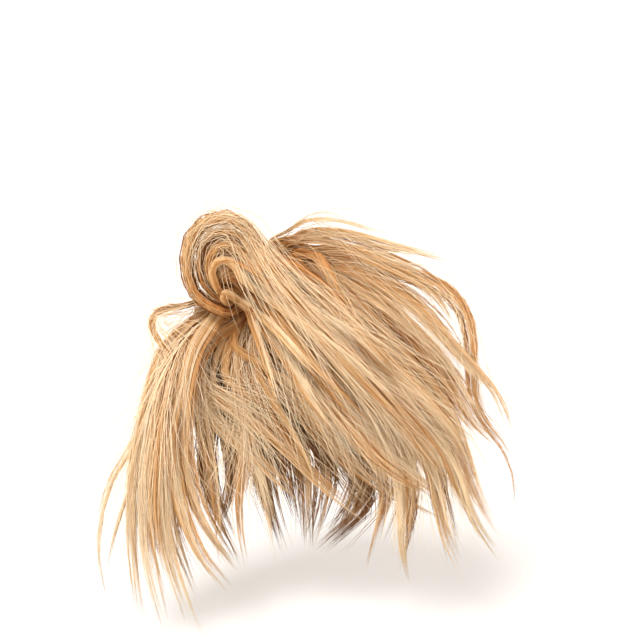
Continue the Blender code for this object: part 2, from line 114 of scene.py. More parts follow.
TUFTS = {
    "under_layer": Tuft(0, (0.0, 360.0), 205, 7, 0.32, 0.36, 0.55, [
        Lock(222, 0, 20, 7, [(-28, -54), (-34, -90), (-33, -126), (-18, -162)]),
        Lock(255, 3, 24, 7, [(-6, -60), (-4, -96), (3, -132), (10, -156)]),
        Lock(285, 1, 24, 7, [(15, -60), (42, -92), (62, -118), (54, -141), (36, -157)]),
        Lock(302, 4, 24, 7, [(39, -48), (66, -78), (85, -108), (88, -138), (83, -163)]),
        Lock(325, 0, 24, 7, [(48, -30), (78, -54), (99, -84), (104, -120), (112, -160)], 0.54),
        Lock(350, 3, 18, 7, [(51, -6), (78, -26), (99, -50), (108, -84), (117, -122), (126, -148)], 0.60),
        Lock(195, 2, 15, 7, [(-42, -33), (-57, -60), (-67, -96), (-73, -132), (-74, -168)], 0.84),
        Lock(206, 4, 17, 7, [(-39, -42), (-50, -78), (-56, -114), (-54, -150), (-44, -180)], 0.66),
        Lock(270, 0, 24, 7, [(6, -50), (17, -84), (25, -112), (25, -136), (26, -156)]),
        Lock(238, 3, 22, 7, [(-18, -50), (-22, -84), (-20, -118), (-27, -146)]),
        Lock(278, 4, 18, 7, [(14, -56), (30, -88), (42, -112), (50, -126)]),
    ]),
    "centre_fall": Tuft(1, (0.0, 360.0), 170, 11, 0.18, 0.55, 0.6, [
        Lock(230, 4, 13, 6, [(-38, -39), (-43, -55), (-35, -66), (-17, -77), (4, -93), (22, -110),
                             (42, -129), (58, -142)], 0.58),
        Lock(222, 1, 13, 6, [(-39, -42), (-43, -62), (-34, -80), (-16, -98), (8, -120), (30, -140)], 0.54),
        # The low shades of 264 here and of 257 below are partly painted shade, for the gap under the pale
        # locks.
        Lock(264, 3, 15, 6, [(-2, -39), (12, -63), (33, -90), (54, -111), (81, -130), (103, -142)], 0.26),
        Lock(278, 1, 15, 6, [(9, -42), (28, -69), (52, -94), (76, -112), (99, -128)], 0.36),
        Lock(250, 0, 13, 6, [(-14, -48), (-15, -72), (-8, -96), (-2, -120), (4, -144), (7, -160)]),
        Lock(214, 3, 12, 6, [(-39, -40), (-41, -63), (-37, -90), (-31, -118), (-28, -142),
                             (-26, -162)], 0.34),
        Lock(257, 5, 13, 6, [(-9, -40), (-2, -64), (12, -88), (24, -108), (32, -127)], 0.38),
        Lock(243, 2, 11, 6, [(-18, -50), (-13, -80), (-12, -108), (-15, -133), (-12, -163)]),
        Lock(292, 2, 14, 6, [(24, -45), (45, -75), (63, -100), (72, -126), (67, -150), (62, -172)], 0.42),
        Lock(308, 4, 14, 6, [(36, -42), (63, -73), (84, -102), (88, -130), (85, -150), (83, -166)], 0.44),
    ]),
    "left_fall": Tuft(2, (165.0, 262.0), 250, 11, 0.18, 0.74, 1.0, [
        Lock(196, 3, 12, 7, [(-39, -23), (-55, -35), (-65, -54), (-73, -84), (-79, -114), (-80, -150),
                             (-76, -192)]),
        Lock(206, 5, 13, 7, [(-38, -25), (-53, -42), (-63, -67), (-70, -102), (-72, -138), (-69, -168),
                             (-62, -195)]),
        Lock(216, 2, 13, 7, [(-36, -28), (-49, -46), (-58, -72), (-62, -108), (-62, -144), (-58, -168),
                             (-50, -192), (-44, -207)]),
        Lock(227, 5, 12, 7, [(-33, -30), (-45, -48), (-52, -72), (-55, -96), (-53, -120), (-47, -144),
                             (-38, -166), (-27, -180)]),
        Lock(238, 2, 12, 7, [(-29, -32), (-42, -49), (-48, -72), (-50, -96), (-45, -123), (-35, -147),
                             (-20, -168)]),
        Lock(188, 1, 5, 4, [(-48, -42), (-69, -80), (-79, -99), (-90, -115), (-98, -138), (-101, -162),
                            (-97, -188)], 0.80),
        Lock(181, 4, 4, 4, [(-50, -50), (-66, -90), (-75, -111), (-84, -133), (-91, -156),
                            (-95, -180)], 0.80),
        Lock(212, 0, 12, 6, [(-40, -35), (-57, -63), (-67, -96), (-71, -132), (-70, -162), (-67, -190)]),
    ]),
    "right_sweep": Tuft(2, (-45.0, 98.0), 165, 16, 0.18, 0.58, 0.95, [
        Lock(84, 4, 3, 3, [(10, 28), (22, 35), (36, 37), (52, 34), (68, 29), (84, 25)], 1.0),
        Lock(72, 2, 6, 5, [(14, 22), (22, 26), (32, 28), (46, 28), (64, 23), (82, 18), (103, 14)], 0.90),
        Lock(56, 4, 9, 6, [(27, 18), (46, 18), (68, 12), (88, 2), (104, -10), (113, -25)], 0.70),
        Lock(42, 1, 10, 6, [(30, 15), (51, 15), (72, 8), (93, 1), (111, -8), (120, -21), (123, -36),
                            (123, -54), (128, -81), (141, -97), (150, -113), (152, -127)], 0.44),
        Lock(30, 4, 12, 6, [(39, 10), (60, 4), (78, -7), (96, -21), (111, -37), (126, -53), (139, -69),
                            (147, -86)], 0.68),
        Lock(18, 1, 15, 7, [(48, 3), (72, -15), (93, -36), (109, -57), (118, -75), (126, -86),
                            (138, -97)], 0.50),
        # 4 and -12 lie under the locks above them; their low shades are partly painted shade for the gaps
        # between those.
        Lock(4, 4, 15, 7, [(45, -6), (66, -27), (87, -51), (106, -75), (117, -98), (123, -118), (130, -136),
                           (139, -152)], 0.46),
        Lock(-12, 1, 15, 7, [(42, -15), (60, -38), (81, -63), (101, -88), (113, -109), (120, -132)], 0.42),
    ]),
    "side_loop": Tuft(3, (195.0, 236.0), 110, 18, 0.16, 0.36, 0.9, [
        Lock(212, 3, 6, 4, [(-38, -14), (-51, -17), (-62, -18.5), (-67.5, -23), (-67, -29), (-63, -36),
                            (-57, -44), (-52, -58), (-53, -86), (-56, -122)]),
        Lock(220, 6, 8, 5, [(-37, -26), (-51, -44), (-60, -72), (-64, -104), (-65, -140), (-61, -172)]),
    ]),
    "right_fall": Tuft(3, (-75.0, 78.0), 270, 11, 0.18, 0.70, 0.75, [
        Lock(46, 4, 11, 6, [(27, 15), (35, 8), (41, -5), (53, -30), (72, -55), (92, -79), (110, -95),
                            (126, -109)], 0.74),
        Lock(24, 1, 14, 6, [(30, 3), (38, -15), (56, -40), (74, -64), (96, -87), (113, -111), (123, -140),
                            (137, -162)]),
        Lock(-12, 4, 14, 6, [(31, -20), (49, -45), (70, -70), (90, -94), (102, -120), (107, -148),
                             (117, -172)]),
        Lock(-36, 1, 13, 6, [(27, -33), (45, -57), (65, -84), (77, -108), (81, -137), (81, -160),
                             (84, -174)]),
        Lock(-54, 4, 12, 6, [(18, -36), (36, -62), (57, -89), (78, -110), (94, -122), (106, -130)]),
    ]),
    "front_fall": Tuft(4, (52.0, 178.0), 220, 11, 0.18, 0.60, 0.7, [
        Lock(168, 17, 11, 5, [(-9, 0), (4, -10), (20, -21), (40, -34), (63, -52), (87, -78), (106, -103)]),
        Lock(128, 15, 12, 6, [(2, 6), (15, -6), (33, -25), (57, -52), (81, -79), (104, -104), (113, -130)]),
        Lock(96, 16, 12, 6, [(9, 3), (22, -12), (40, -36), (61, -62), (85, -89), (108, -115)]),
        Lock(148, 14, 12, 6, [(-5, -3), (4, -20), (18, -44), (35, -70), (54, -94), (73, -113), (94, -126)]),
        Lock(70, 15, 12, 6, [(20, 6), (35, -6), (53, -28), (73, -49), (94, -71), (114, -94), (125, -116)]),
    ]),
    "curl_lock": Tuft(5, (185.0, 240.0), 200, 20, 0.18, 0.36, 0.9, [
        Lock(220, 5, 11, 8, [(-29, -17), (-40, -10), (-46, 3), (-46.5, 17), (-42, 29), (-32, 36.5),
                             (-21, 37.5), (-11, 31), (-3, 18), (6, 3), (18, -12), (33, -29), (56, -54),
                             (80, -81), (98, -107)], 0.27),
        Lock(208, 9, 9, 7, [(-29, -10), (-36, -3), (-39, 8), (-38, 19), (-32, 27), (-22, 28.5), (-13, 22.5),
                            (-4.5, 10.5), (6, -5), (21, -22), (42, -43), (67, -68), (90, -89)], 0.36),
        Lock(196, 2, 8, 5, [(-32, 3), (-31, 11), (-25, 18), (-16, 17), (-7, 9), (3, -2), (15, -15),
                            (30, -31), (50, -51), (73, -73), (95, -95), (108, -113)]),
    ]),
}

# Looser wisps of the same fibre, too thin and too many for the solids, laid out as the locks are.
LOOSE = {
    "under_layer": [
        Lock(274, 2, 24, 7, [(10, -54), (26, -86), (38, -110), (36, -134), (30, -152)]),
        Lock(290, 2, 24, 7, [(26, -52), (48, -84), (58, -108), (50, -134), (44, -156)]),
        Lock(262, 2, 20, 7, [(0, -54), (8, -88), (14, -118), (20, -142)]),
        # This wisp's low shade is painted shade, filling the gap under the centre fall.
        Lock(277, 4, 30, 7, [(13, -54), (28, -82), (42, -104), (56, -120), (64, -134)], 0.26),
        Lock(310, 2, 20, 7, [(44, -44), (70, -76), (84, -104), (78, -130), (70, -150)]),
        Lock(150, 2, 20, 5, [(-27, 14), (-33, 15), (-38, 13)]),
        Lock(174, 2, 18, 5, [(-29, 2), (-35, 3), (-40, 4)]),
    ],
    "curl_lock": [
        Lock(204, 5, 10, 5, [(-29, -7), (-34, 1), (-35, 11), (-31, 20), (-23, 23), (-14, 18), (-5, 6),
                             (6, -8), (20, -24), (40, -45), (64, -70)]),
        Lock(190, 2, 9, 5, [(-27, 0), (-25, 8), (-18, 10), (-10, 5), (0, -5), (12, -17), (28, -33),
                            (48, -53), (66, -72)]),
        Lock(200, 12, 4, 4, [(-30, -2), (-32, 8), (-27, 12), (-18, 11), (-8, 6), (4, -2), (18, -14),
                             (36, -33), (54, -52)]),
        Lock(194, 13, 7, 4, [(-30, -2), (-32, 6), (-27, 12), (-19, 10), (-14, 2), (-6, -5), (4, -12),
                             (16, -21), (34, -34), (56, -52), (76, -72)], 0.78),
        Lock(188, 3, 10, 5, [(-27, 4), (-22, 6), (-16, 2), (-10, -6), (-2, -16)], 0.32),
        Lock(206, 13, 8, 4, [(-26, -8), (-13, -13), (0, -22), (14, -36), (30, -54), (50, -74)], 0.72),
        Lock(186, 6, 10, 5, [(-24, 1), (-17, 3), (-9, -2), (0, -12), (10, -25), (24, -44), (40, -64),
                             (58, -84)]),
    ],
    "front_fall": [
        Lock(176, 14, 12, 5, [(-12, -5), (-6, -13), (3, -29), (14, -47), (28, -70), (44, -92)]),
        Lock(160, 16, 10, 5, [(-7, 2), (3, -8), (16, -22), (32, -40), (52, -62), (74, -86)]),
        Lock(110, 15, 12, 5, [(6, 8), (14, -3), (28, -20), (48, -42), (70, -66), (96, -96)]),
        Lock(60, 15, 10, 5, [(16, 12), (24, 2), (40, -16), (62, -40), (84, -62)]),
        Lock(172, 12, 7, 4, [(-12, -8), (-9, -18), (-4, -34), (2, -52), (8, -74)]),
    ],
    "right_sweep": [
        Lock(36, 3, 7, 5, [(33, 12), (54, 8), (76, -2), (94, -14), (106, -26), (115, -40), (118, -56)]),
        Lock(64, 3, 8, 4, [(18, 24), (34, 24), (52, 20), (72, 14), (92, 6), (106, -4)], 0.72),
        Lock(78, 3, 5, 3, [(14, 24), (24, 28), (38, 29), (54, 27), (72, 22), (90, 17), (104, 13)], 0.85),
        Lock(20, 4, 13, 4, [(45, 2), (68, -12), (88, -28), (106, -45), (120, -64), (132, -84)], 0.66),
    ],
    "side_loop": [
        Lock(216, 6, 9, 4, [(-22, -15), (-33, -22), (-43, -36), (-50, -58), (-56, -86), (-60, -116)], 0.58),
        Lock(226, 6, 8, 4, [(-20, -18), (-30, -26), (-39, -40), (-45, -62), (-48, -90), (-47, -116)], 0.62),
    ],
    "right_fall": [
        Lock(50, 6, 7, 4, [(18, 14), (27, 16), (35, 9), (41, -5), (52, -26), (68, -48), (88, -70),
                           (108, -88)], 0.80),
        Lock(30, 6, 6, 4, [(33, 4), (46, -14), (66, -40), (90, -66), (116, -88), (134, -104)]),
    ],
    "centre_fall": [
        Lock(236, 6, 8, 4, [(-18, -30), (-20, -38), (-12, -45), (0, -52), (16, -62), (32, -75), (50, -92)]),
        Lock(240, 5, 8, 4, [(-16, -28), (-22, -42), (-24, -56), (-16, -66), (0, -74), (16, -84)]),
        Lock(232, 5, 7, 4, [(-24, -36), (-30, -52), (-30, -64), (-20, -72), (-4, -80), (8, -90)]),
    ],
}

# Wisps are thinner in fibre than locks, and may rise past the top of their layer.
LOOSE_SHARE, LOOSE_OVER = 0.7, 8.0

# A fibre is 0.08 mm thick in life. It is drawn coarser, here and in TUFTS, so that single fibres show.
# Each has its own share of its tuft's radius and loses some of it to the tip. No fibre goes further than
# the margin out of the solids' box.
FIBRE_SIDES = 3
FIBRE_OWN_R = (0.6, 1.6)
FIBRE_TIP_THINS = 0.72
FIBRE_MARGIN = 8.0

# Ribbons of fibre. Places are in half widths and half thicknesses of the lock, and ends in shares of its
# length. A tuft whose lines have COIL_POINTS or more is coiled, and theirs lie closest at the root.
LOCK_POINTS = 80
RIBBON_WIDTH, SPARE_RIBBONS = 1.15, 3
RIBBON_PLACE = 0.85
RIBBON_REACH, FIBRE_SHORTER, REACH_LIMITS = (0.74, 1.08), 0.06, (0.4, 1.08)
COIL_POINTS, COIL_SPACING, FALL_SPACING = 18, 1.5, 1.1
RIBBON_CORE, RIBBON_OPEN, RIBBON_CLOSES, RIBBON_OWN_OPEN = 0.05, 0.30, 2.4, (0.5, 1.5)
WAVES, WAVE_AT_ROOT, WAVE_GROWS, WAVE_POWER = (0.4, 1.5), 0.05, 0.28, 1.2
SWIRL, SWIRL_TURN, SWIRL_PHASE, SWIRL_POWER = 0.045, (2.0, 7.0), 6.3, 0.5
STRAY_SHARE, STRAY_BEND, STEADY_BEND, BEND_POWER = 0.13, 0.75, 0.08, 1.5

# How far the tone varies from lock to lock, ribbon to ribbon and fibre to fibre, and with the place in
# the lock. The share from the place is painted light and shade: lighter on the outer side and in the
# middle, darker at the edges, where the gaps between locks fall in shade.
LOCK_TONE, RIBBON_TONE, FIBRE_TONE = 0.09, 0.10, 0.10
PAINTED_OUTER_LIGHT, PAINTED_MIDDLE_LIGHT, PAINTED_EDGE_SHADE = 0.20, 0.08, 0.36
# Along each fibre: darker towards the root as painted shade, and paler towards the tip, partly as bleached
# ends and partly as painted light.
TIP_BLEACH_AND_PAINTED_LIGHT, TIP_BLEACH_AND_PAINTED_LIGHT_FROM = 0.32, 0.36

# Single stray fibres over the locks.
FLYAWAYS, FLYAWAY_POINTS, FLYAWAY_R = 1900, 9, 0.14
FLYAWAY_SHARES = {
    "centre_fall": 3.6, "left_fall": 1.3, "right_sweep": 1.4, "side_loop": 0.8, "right_fall": 2.2,
    "front_fall": 2.6, "curl_lock": 1.4,
}
FLYAWAY_LOCK_POINTS = 60
FLYAWAY_BEGIN, FLYAWAY_RUN, FLYAWAY_END = 0.45, (0.3, 0.6), 1.02
FLYAWAY_PLACE = 0.7
FLYAWAY_BEND, FLYAWAY_BEND_POWER = 16.0, 1.4
FLYAWAY_WAVE, FLYAWAY_WAVE_TURN = 1.8, (3.0, 9.0)
FLYAWAY_OVER, FLYAWAY_RISE = 0.2, 7.0
FLYAWAY_TONE, FLYAWAY_TONE_VARIES = 0.84, 0.12
FLYAWAY_FROM_ROOT = 0.6

# The strips of weft and the knitted band.
STRIP_STEP_DEG, STRIP_STEPS_LEAST = 2.0, 8
STITCH_PITCH, STITCH_DEPTH, WEFT_EDGE_R = 2.0, 0.3, 0.7
RIB_PITCH, RIB_DEPTH, RIB_ROOM, BAND_EDGE_R = 1.1, 0.22, 0.25, 0.9


def smooth_step(t):
    """0 before 0, 1 after 1 and t*t*(3-2t) between."""
    t = np.clip(t, 0.0, 1.0)
    return t * t * (3.0 - 2.0 * t)


# The sight line's frame: across and up lie on the layout plane, back points along it to the eye.
ACROSS = np.array([1.0, 0.0, 0.0])
UP = np.array([0.0, math.sin(SIGHT_TILT), math.cos(SIGHT_TILT)])
BACK = np.array([0.0, -math.cos(SIGHT_TILT), math.sin(SIGHT_TILT)])
EYE = ACROSS * SIGHT_CENTRE[0] + UP * SIGHT_CENTRE[1] + BACK * SIGHT_DISTANCE


def placed(seen):
    """Real places of (across, up, stand-off) points: where the line of sight is that far off the head.

    The place is eye + share * (place on the plane - eye), with the share that gives y = -stand-off.
    """
    on_plane = seen[..., :1] * ACROSS + seen[..., 1:2] * UP
    share = (-seen[..., 2] - EYE[1]) / (on_plane[..., 1] - EYE[1])
    return EYE + share[..., None] * (on_plane - EYE)


def seen_from_real(point):
    """The (across, up, stand-off) of a real place: placed() the other way round."""
    share = SIGHT_DISTANCE / ((EYE - point) @ BACK)
    on_plane = EYE + share * (point - EYE)
    return np.array([on_plane @ ACROSS, on_plane @ UP, -point[1]])


def layer_start(row, seen):
    """Stand-off where a row's layer begins: its place on the band plus its share of the full stand-off.

    The share rises with the distance from the band, falls back a little to the tips, and is less on the
    scalp side. In the curl's row it rises with the distance from the curl's root instead.
    """
    x, y = seen[..., 0], seen[..., 1]
    radius = np.hypot(x, y)
    turn = np.degrees(np.arctan2(y, x)) % 360.0
    low, high = SCALP_SIDE_DEG
    beyond = np.maximum(low - turn, turn - high)
    beyond = np.minimum(beyond, 360.0 - high + low - beyond)
    scalp = smooth_step(1.0 - beyond / SCALP_BLEND_DEG) * smooth_step(radius / RISE_FROM)
    thinned = 1.0 - SCALP_SHARE * scalp
    fall = 1.0 - FALL_BACK * smooth_step((radius - FALL_FROM) / (FALL_TO - FALL_FROM))
    rise = 1.0 - np.clip((RISE_TO - radius) / (RISE_TO - RISE_FROM), 0.0, 1.0) ** RISE_EASE
    if row >= CURL_ROW:
        from_root = np.hypot(x - CURL_ROOT[0], y - CURL_ROOT[1])
        rise = 1.0 - np.exp(-np.maximum(from_root - CURL_CLEAR, 0.0) / CURL_REACH)
    return ROW_START[row] + (FULL_START[row] - ROW_START[row]) * rise * fall * thinned


def spline_through(points, count):
    """Points evenly spaced along the natural cubic spline through the given ones, and its length.

    The spline's knots are the straight distances from point to point, and its bend is nought at both ends.
    """
    points = np.asarray(points, float)
    knots = np.concatenate([[0.0], np.cumsum(np.linalg.norm(np.diff(points, axis=0), axis=1))])
    gaps = np.diff(knots)
    size = len(points)
    matrix = np.eye(size)
    right = np.zeros_like(points)
    for i in range(1, size - 1):
        matrix[i, i - 1:i + 2] = gaps[i - 1], 2.0 * (gaps[i - 1] + gaps[i]), gaps[i]
        right[i] = 6.0 * ((points[i + 1] - points[i]) / gaps[i] - (points[i] - points[i - 1]) / gaps[i - 1])
    bend = np.linalg.solve(matrix, right)

    def at(s):
        i = np.clip(np.searchsorted(knots, s, side="right") - 1, 0, size - 2)
        h = gaps[i][:, None]
        a = (knots[i + 1] - s)[:, None] / h
        b = 1.0 - a
        bent = ((a ** 3 - a) * bend[i] + (b ** 3 - b) * bend[i + 1]) * h ** 2 / 6.0
        return a * points[i] + b * points[i + 1] + bent

    fine_steps_each = 40
    fine_knots = np.linspace(0.0, knots[-1], fine_steps_each * size)
    run = np.concatenate([[0.0], np.cumsum(np.linalg.norm(np.diff(at(fine_knots), axis=0), axis=1))])
    return at(np.interp(np.linspace(0.0, run[-1], count), run, fine_knots)), run[-1]


def lock_line(row, lock, count, over=0.0):
    """The lock's middle line in (across, up, stand-off), and its half width and half thickness along it.

    It keeps within its row's layer, or rises up to over past it, and comes out of its root by
    exp(-along / SEAM_REACH).
    """
    turn = math.radians(lock.root_deg)
    middle = ROW_START[row] + 0.5 * ROW_WIDTH
    crossing = row == CROSSING_ROW
    ends = [(ROOT_R, middle), (WEFT_OUTER_R, BAND_LENGTH + CROSS_RISE) if crossing else (LEAVE_R, middle)]
    start, leaving = [
        seen_from_real(np.array([r * math.cos(turn), -off, r * math.sin(turn)]))
        for r, off in ends
    ]
    route = [start[:2], leaving[:2]] + [np.array(place, float) for place in lock.route]
    line, length = spline_through(route[1:] if crossing else route, count)
    along = np.linspace(0.0, length, count)
    share = along / length
    widens = ROOT_WIDTH_SHARE + (1.0 - ROOT_WIDTH_SHARE) * smooth_step(share / FULL_WIDTH_BY)
    half_width = 0.5 * lock.width * widens * (1.0 - TIP_NARROWS * share ** 2)
    thickens = smooth_step((along - THICKENS_FROM) / THICKENS_OVER)
    half_thick = 0.5 * (ROOT_THICK + (lock.thick - ROOT_THICK) * thickens)
    floor = layer_start(row, line)
    ceiling = layer_start(row + 1, line) + over
    lifted = floor + half_thick + lock.lift * smooth_step(along / LIFTS_OVER) + LAYER_GAP
    off = np.minimum(lifted, np.maximum(ceiling - half_thick, floor + half_thick))
    if crossing:
        off = np.maximum(off, leaving[2])
    off = off + (start[2] - off) * np.exp(-along / SEAM_REACH)
    return np.column_stack([line, off]), half_width, half_thick


def sideways(line):
    """At each point of a line, the direction on the layout plane that is square to it, to its left."""
    heading = np.gradient(line[:, :2], axis=0)
    heading /= np.linalg.norm(heading, axis=1)[:, None]
    return np.column_stack([-heading[:, 1], heading[:, 0]])


def in_disc(count):
    """Random places evenly over the unit disc."""
    radius, turn = np.sqrt(RNG.random(count)), RNG.random(count) * 2.0 * math.pi
    return np.column_stack([radius * np.cos(turn), radius * np.sin(turn)])


def resampled(line, share):
    """line's values at these shares of its length, from 0 to 1.

    Between two points they go straight from one to the other, and a little over 1 they go straight on.
    """
    at = share * (len(line) - 1)
    i = np.clip(at.astype(int), 0, len(line) - 2)
    t = (at - i)[..., None]
    return line[i] * (1.0 - t) + line[i + 1] * t


def lock_fibres(tuft, lock, count, over=0.0):
    """The lines of a lock's fibres: (fibres, points, 3) in (across, up, stand-off), and each one's tone.

    The lock is made of ribbons. A ribbon's middle keeps its own place in the lock's section and swings
    about it in slow waves, more towards the tip. Its fibres lie side by side, swirl a little, and draw
    together by the factor 1 - gone**RIBBON_CLOSES. Ribbons and fibres end at their own shares of the
    length, and a few fibres stray out by share**BEND_POWER. The points of a line lie closer at the
    root, by evenly spaced shares to the power of spacing. The tone is the lock's, the ribbon's and the
    fibre's own added up, with painted light and shade on top: lighter on the ribbon's outer side and
    in the middle, and darker at the lock's edges, where the gaps between locks fall in shade.
    """
    line, half_width, half_thick = lock_line(tuft.row, lock, LOCK_POINTS, over)
    ribbons = int(lock.width / RIBBON_WIDTH) + SPARE_RIBBONS
    ribbon = RNG.integers(0, ribbons, count)
    ribbon_place = in_disc(ribbons)
    own = in_disc(count)
    reach = RNG.uniform(*RIBBON_REACH, ribbons)[ribbon] - np.abs(RNG.normal(0.0, FIBRE_SHORTER, count))
    spacing = COIL_SPACING if tuft.points >= COIL_POINTS else FALL_SPACING
    gone = np.linspace(0.0, 1.0, tuft.points)[None, :] ** spacing
    share = gone * reach.clip(*REACH_LIMITS)[:, None]
    own_open = RNG.uniform(*RIBBON_OWN_OPEN, ribbons)[ribbon][:, None]
    spread = RIBBON_CORE + RIBBON_OPEN * (1.0 - gone ** RIBBON_CLOSES) * own_open
    waves = RNG.uniform(*WAVES, (2, ribbons))[:, ribbon]
    phase = RNG.uniform(0.0, 2.0 * math.pi, (2, ribbons))[:, ribbon]
    swing = np.sin(2.0 * math.pi * waves[..., None] * share + phase[..., None])
    wander = (WAVE_AT_ROOT + WAVE_GROWS * share ** WAVE_POWER)[..., None] * np.moveaxis(swing, 0, -1)
    swirl_turn = RNG.uniform(*SWIRL_TURN, (2, count, 1))
    swirl = np.sin(swirl_turn * share + RNG.uniform(0.0, SWIRL_PHASE, (2, count, 1)))
    bend = np.where(RNG.random(count) < STRAY_SHARE, STRAY_BEND, STEADY_BEND)[:, None, None]
    bend = bend * RNG.normal(0.0, 1.0, (count, 1, 2))
    place = (
        RIBBON_PLACE * ribbon_place[ribbon][:, None, :] + wander + own[:, None, :] * spread[..., None]
        + SWIRL * np.moveaxis(swirl, 0, -1) * share[..., None] ** SWIRL_POWER
        + bend * (share ** BEND_POWER)[..., None]
    )
    wide = resampled(half_width[:, None], share)[..., 0] * (1.0 + (tuft.fray - 1.0) * share)
    deep = resampled(half_thick[:, None], share)[..., 0]
    lines = resampled(line, share)
    lines[..., :2] += resampled(sideways(line), share) * (place[..., 0] * wide)[..., None]
    lines[..., 2] += place[..., 1] * deep
    lock_tone = lock.shade or tuft.shade + RNG.normal(0.0, LOCK_TONE)
    tone = lock_tone + RNG.normal(0.0, RIBBON_TONE, ribbons)[ribbon] + RNG.normal(0.0, FIBRE_TONE, count)
    # Painted light on the outer side and in the middle of the lock, and painted shade at its edges.
    aside, outside = ribbon_place[ribbon].T
    return lines, tone + PAINTED_OUTER_LIGHT * outside + PAINTED_MIDDLE_LIGHT - PAINTED_EDGE_SHADE * aside ** 2


def flyaway_lines():
    """Single stray fibres over the locks: their lines and tones, as lock_fibres gives them.

    Each follows its lock from somewhere along it, bends away to one side by gone**FLYAWAY_BEND_POWER
    and a small wave, and rises off the lock with the way gone.
    """
    names = list(FLYAWAY_SHARES)
    shares = np.array(list(FLYAWAY_SHARES.values())) / sum(FLYAWAY_SHARES.values())
    chosen = RNG.choice(len(names), FLYAWAYS, p=shares)
    gone = np.linspace(0.0, 1.0, FLYAWAY_POINTS)[None, :]
    lines, tones = [], []
    for number, name in enumerate(names):
        tuft = TUFTS[name]
        which = RNG.integers(0, len(tuft.locks), int((chosen == number).sum()))
        for index, lock in enumerate(tuft.locks):
            count = int((which == index).sum())
            if not count:
                continue
            line, half_width, half_thick = lock_line(tuft.row, lock, FLYAWAY_LOCK_POINTS)
            begin = RNG.uniform(0.0, FLYAWAY_BEGIN, count)[:, None]
            end = begin + RNG.uniform(*FLYAWAY_RUN, count)[:, None]
            share = np.minimum(begin + (end - begin) * gone, FLYAWAY_END)
            place = RNG.normal(0.0, FLYAWAY_PLACE, (count, 2))
            bend = RNG.normal(0.0, FLYAWAY_BEND, (count, 1)) * gone ** FLYAWAY_BEND_POWER
            wave = RNG.normal(0.0, FLYAWAY_WAVE, (count, 1))
            bend = bend + wave * np.sin(gone * RNG.uniform(*FLYAWAY_WAVE_TURN, (count, 1)))
            rise = RNG.uniform(0.0, FLYAWAY_RISE, (count, 1)) * gone
            wide = resampled(half_width[:, None], share)[..., 0]
            deep = resampled(half_thick[:, None], share)[..., 0]
            stray = resampled(line, share)
            stray[..., :2] += resampled(sideways(line), share) * (place[:, :1] * wide + bend)[..., None]
            stray[..., 2] += (FLYAWAY_OVER + np.abs(place[:, 1:])) * deep + rise
            lines.append(stray)
            tones.append(RNG.normal(FLYAWAY_TONE, FLYAWAY_TONE_VARIES, count))
    return np.concatenate(lines), np.concatenate(tones)


